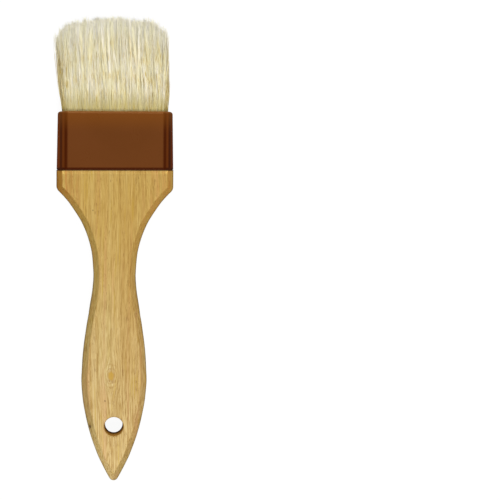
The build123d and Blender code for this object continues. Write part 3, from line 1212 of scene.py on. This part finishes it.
def hairLines(rootX, rootZ, own, chance, size):
    share = rootX / size["halfWidth"]
    y = hairHeights(share, own, chance, size)
    count, curves, sooner = len(rootX), size["curves"], size["sooner"]
    # 0 at the mouth, 1 at the tuft's end
    out = rise(y, size["mouthY"], size["crownY"])
    lean = size["lean"] * out**curves["lean"] + size["fan"] * out**curves["fan"] * share[:, None]
    x = rootX[:, None] + lean
    # the banks close over the filler strip and swell a little
    deep, strip = np.abs(rootZ)[:, None], size["stripHalf"]
    closed = (deep - strip) / (size["halfDepth"] - strip) * size["swell"]
    closed = closed * (1 - size["swellLoss"] * out)
    closing = np.clip(out * sooner["closed"], 0, 1)
    z = np.sign(rootZ)[:, None] * (deep + (closed - deep) * closing)
    # each hair is drawn to its strand's line, and that to its clump's line
    bend, ripple = np.sin(out * math.pi), np.sin(out * math.pi * 2)
    draw = size["gather"] * out**curves["gather"]
    strandX = own["x"] + (own["clumpX"] - own["x"]) * draw
    strandZ = own["z"] + (own["clumpZ"] - own["z"]) * draw
    draw = size["strandGather"] * np.clip(out * sooner["drawn"], 0, 1)
    x += (strandX - rootX[:, None]) * draw
    z += (strandZ - rootZ[:, None]) * draw
    x += size["wave"] * np.sin(out * size["wavePace"] + own["wave"]) * out
    clump, strand = out**curves["clump"], out**curves["strand"]
    x += own["clumpLeanX"] * clump + own["leanX"] * strand
    x += own["bowX"] * bend + own["rippleX"] * ripple
    z += own["clumpLeanZ"] * clump + own["leanZ"] * strand + own["bowZ"] * bend
    # and has a lean and a bend of its own
    few, more = size["rebels"]
    rebels = np.where(chance.random(count) < few, more, 1)[:, None]
    leans = chance.normal(0, size["ownLean"], (2, count, 1)) * rebels
    bows = chance.normal(0, size["ownBow"], (2, count, 1)) * rebels
    grown = out**curves["own"]
    x += leans[0] * grown + bows[0] * bend
    z += (leans[1] * grown + bows[1] * bend) * size["inDepth"]
    # all weave in and out between the others
    free = np.clip(out * sooner["free"], 0, 1)
    x += (own["weaveX"] + chance.normal(0, size["ownWeave"][0], y.shape)) * free
    z += (own["weaveZ"] + chance.normal(0, size["ownWeave"][1], y.shape)) * free
    # the left side frays
    start, far = size["fray"]
    fray = rise(-share, start, 1) * chance.random(count) ** 3 * far
    x -= fray[:, None] * out**curves["fray"]
    left, right, depth = size["room"]
    x, z = np.clip(x, left, right), np.clip(z, -depth, depth)
    return np.stack([x, y, z + size["middleZ"]], axis=2)


def hairTints(share, layer, own, chance, size):
    # 0 is brown and 1 is pale
    strandSpread, hairSpread = size["tintSpread"]
    start, browner = size["sidesPaintedShade"]
    toned = (size["tint"] + strandSpread * own["tone"][:, 0]
             + chance.normal(0, hairSpread, len(share)))
    toned -= chance.exponential(size["browner"], len(share))
    # painted shade towards the sides of the tuft
    toned -= browner * rise(np.abs(share), start, 1)
    # painted warm shade on the inner hairs
    toned -= size["insidePaintedShade"] * (layer != "Outer")
    return np.clip((toned * size["tints"]).astype(int), 0, size["tints"] - 1)


def growHairs(name, side, layer, seed, bristle, strands, size):
    # one mesh of copies of the bristle, each laid along its own line
    chance = np.random.default_rng(seed)
    rootX, rootZ = plantHairs(size, side, layer, chance)
    count = len(rootX)
    mine = nearest(rootX, rootZ, strands["x"], strands["z"])
    own = {key: values[mine].reshape(count, -1) for key, values in strands.items()}
    lines = hairLines(rootX, rootZ, own, chance, size)
    tint = hairTints(rootX / size["halfWidth"], layer, own, chance, size)

    shape = pointsOf(bristle.data)
    rings, taper = np.array(size["rings"]), np.array(size["taper"])
    level = np.abs(shape[:, 2:] - rings).argmin(axis=1)
    corner = np.arctan2(shape[:, 1], shape[:, 0])
    spread, least, most = size["uneven"]
    thick = size["thickness"] / 2 * np.clip(chance.normal(1, spread, count), least, most)
    angle = corner + chance.uniform(0, 2 * math.pi, count)[:, None]
    radial = np.stack([np.cos(angle), np.zeros_like(angle), np.sin(angle)], axis=2)
    spots = lines[:, level] + (thick[:, None] * taper[level])[:, :, None] * radial

    hair = bpy.data.meshes.new(name)
    hair.vertices.add(count * len(shape))
    hair.vertices.foreach_set("co", (spots * mm).ravel())
    corners = copyFaces(hair, bristle.data, count)
    mapHairs(hair, tint, level, corner, corners, size)
    shadeHairs(hair, spots, radial, level, size, hairShading)
    piece = bpy.data.objects.new(name, hair)
    bpy.context.scene.collection.objects.link(piece)
    return piece


def copyFaces(hair, bristle, count):
    # the cone stands on Z and the hairs lie along Y, so each face is turned round
    faces = [list(face.vertices)[::-1] for face in bristle.polygons]
    corners = np.concatenate(faces).astype(np.int32)
    starts = np.cumsum([0] + [len(face) for face in faces[:-1]]).astype(np.int32)
    copies = np.arange(count, dtype=np.int32)[:, None]
    hair.loops.add(count * len(corners))
    hair.loops.foreach_set("vertex_index", (corners + len(bristle.vertices) * copies).ravel())
    hair.polygons.add(count * len(faces))
    hair.polygons.foreach_set("loop_start", (starts + len(corners) * copies).ravel())
    hair.update(calc_edges=True)
    hair.validate()
    return corners


def mapHairs(hair, tint, level, corner, corners, size):
    # across the map is the hair's tint, up the map is the way along it
    width, margin = size["mapWidth"], size["mapMargin"]
    aside = np.where(np.sin(corner) > 0, width, -width)
    across = (tint[:, None] + 0.5 + aside) / size["tints"]
    along = np.array(size["rings"])[level] * (1 - 2 * margin) + margin
    along = np.broadcast_to(along, across.shape)
    flat = np.stack([across, along], axis=2)[:, corners].ravel()
    for label in ("tintMap", "OFBake"):
        layer = hair.uv_layers.new(name=label)
        layer.data.foreach_set("uv", flat.astype(np.float32))
    hair.uv_layers.active = hair.uv_layers["tintMap"]


def shadeHairs(hair, spots, radial, level, size, look):
    # across a hair the shading is round; it also leans towards the outside of the tuft, on the
    # outer hairs only, but near the ends on most of them
    rings = np.array(size["rings"])
    x, depth = spots[..., 0], spots[..., 2] - size["middleZ"]
    upwards = np.sign(depth) * rise(np.abs(depth), *look["outer"])
    start, span, least = look["endsDepth"]
    nearEnds = np.clip((depth - start) / span, least, 1)
    upwards += (nearEnds - upwards) * rise(rings[level], *look["ends"])
    atTip = np.broadcast_to(level == len(rings) - 1, depth.shape)
    sideways = np.sign(x) * (np.abs(x) / look["sideX"]) ** look["sidePower"] * look["side"]
    away = np.stack([sideways, atTip * look["point"], upwards], axis=2)
    normals = radial * ~atTip[..., None] + look["outwards"] * away
    normals /= np.maximum(np.linalg.norm(normals, axis=2, keepdims=True), 1e-6)
    hair.normals_split_custom_set_from_vertices(normals.reshape(-1, 3))


bristleLook = {
    "stops": [(0.0, tone(156, 124, 60)), (0.07, tone(203, 173, 96)), (0.22, tone(230, 212, 152)),
              (0.45, tone(245, 236, 199)), (0.75, tone(248, 242, 216)), (1.0, tone(251, 247, 227))],
    "uneven": ((90.0, 9.0, 1.0), 2),      # across and along the map
    "unevenness": 1.3,
    "stains": ((61.0, 7.0, 1.0), 1),
    "stainLevels": (0.59, 0.67, 0, 0.85),
    "stain": tone(212, 182, 74),
    "root": tone(219, 212, 174),
    "rootShadeZone": (0.42, 0.22),             # along a hair: darker near the root, partly the hair's own tone and partly painted shade
    "end": tone(255, 250, 225),
    "endZone": (0.77, 0.97, 0, 0.95),
    # multiplied in, over patches of the tuft
    "patches": ((0.75, 0.06, 0.75), 1),
    "yellowness": [(0.48, 0.64, (0.99, 0.985, 0.905, 1)), (0.50, 0.36, (1.0, 1.005, 1.10, 1))],
    "roughness": (0.3, 0.7, 0.38, 0.55),
    "gloss": 0.4,
}


def makeBristleMaterial(look):
    material, tree, shader = newMaterial("naturalBristle")
    place = addNode(tree, "ShaderNodeUVMap", uv_map="tintMap").outputs[0]
    tint, along = split(tree, place)[:2]
    # the tone changes along each bristle, which breaks the tuft up into short strokes
    uneven = noise(tree, place, *look["uneven"])
    strokes = wobble(tree, place, look["uneven"], look["unevenness"])
    colour = ramp(tree, plus(tree, tint, strokes), look["stops"])
    stained = ranged(tree, noise(tree, place, *look["stains"]), *look["stainLevels"])
    colour = blended(tree, stained, colour, look["stain"])
    # darker near the root: partly the hair's own tone, partly painted shade under the ferrule's lip
    colour = tinted(tree, ranged(tree, along, *look["rootShadeZone"]), colour, look["root"])
    colour = blended(tree, ranged(tree, along, *look["endZone"]), colour, look["end"])
    # neighbours share their yellowness
    shared = noise(tree, inMillimetres(tree), *look["patches"])
    for start, end, shade in look["yellowness"]:
        colour = tinted(tree, ranged(tree, shared, start, end), colour, shade)
    feed(tree, shader, {
        "Base Color": colour,
        "Roughness": ranged(tree, uneven, *look["roughness"]),
        "Specular IOR Level": look["gloss"],
    })
    return material


def makeTuft(size, firstSeed=21):
    bristle = makeBristle(size["rings"])
    strands = makeStrands(size)
    material = makeBristleMaterial(bristleLook)
    banks = ((1, "Front", "bristles_front"), (-1, "Back", "bristles_back"))
    places = [(bank, layer) for bank in banks for layer in size["layers"]]
    for seed, ((side, label, node), layer) in enumerate(places, firstSeed):
        piece = growHairs("tuft" + label + layer, side, layer, seed, bristle, strands, size)
        wear(piece, material)
        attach(piece, "root")
        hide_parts(node)
        print(piece.name, len(piece.data.polygons), "faces")
    bpy.data.objects.remove(bristle)


makeTuft(tuft)


# Inside: the resin and the filler strip keep their CAD shapes

resinLook = {
    "dark": tone(150, 116, 62),
    "pale": tone(186, 152, 92),
    "cloud": ((0.5, 0.5, 0.5), 4),
    "levels": (0.3, 0.7),
    "smooth": 0.35,
    "rough": 0.6,
    "bump": (0.4, 0.2),
}

fillerLook = {
    "dark": tone(158, 122, 74),
    "pale": tone(200, 172, 120),
    "levels": (0.3, 0.7),
    "rough": 0.7,
    "bump": (0.4, 0.05),
}


def makeResin(look):
    material, tree, shader = newMaterial("setResin")
    spot = inMillimetres(tree)
    cloud = noise(tree, spot, *look["cloud"])
    feed(tree, shader, {
        "Base Color": blended(tree, ranged(tree, cloud, *look["levels"]), look["dark"],
                              look["pale"]),
        "Roughness": handled(tree, spot, look["smooth"], look["rough"]),
    })
    addBump(tree, shader, cloud, *look["bump"])
    return material


def makeFillerBoard(look):
    material, tree, shader = newMaterial("fillerBoard")
    fibres = grainOf(tree, inMillimetres(tree))["Fibres"]
    feed(tree, shader, {
        "Base Color": blended(tree, ranged(tree, fibres, *look["levels"]), look["dark"],
                              look["pale"]),
        "Roughness": look["rough"],
    })
    addBump(tree, shader, fibres, *look["bump"])
    return material


wear(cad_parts["epoxy_plug"], makeResin(resinLook))
wear(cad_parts["filler_strip"], makeFillerBoard(fillerLook))
print("resin and filler strip finished")
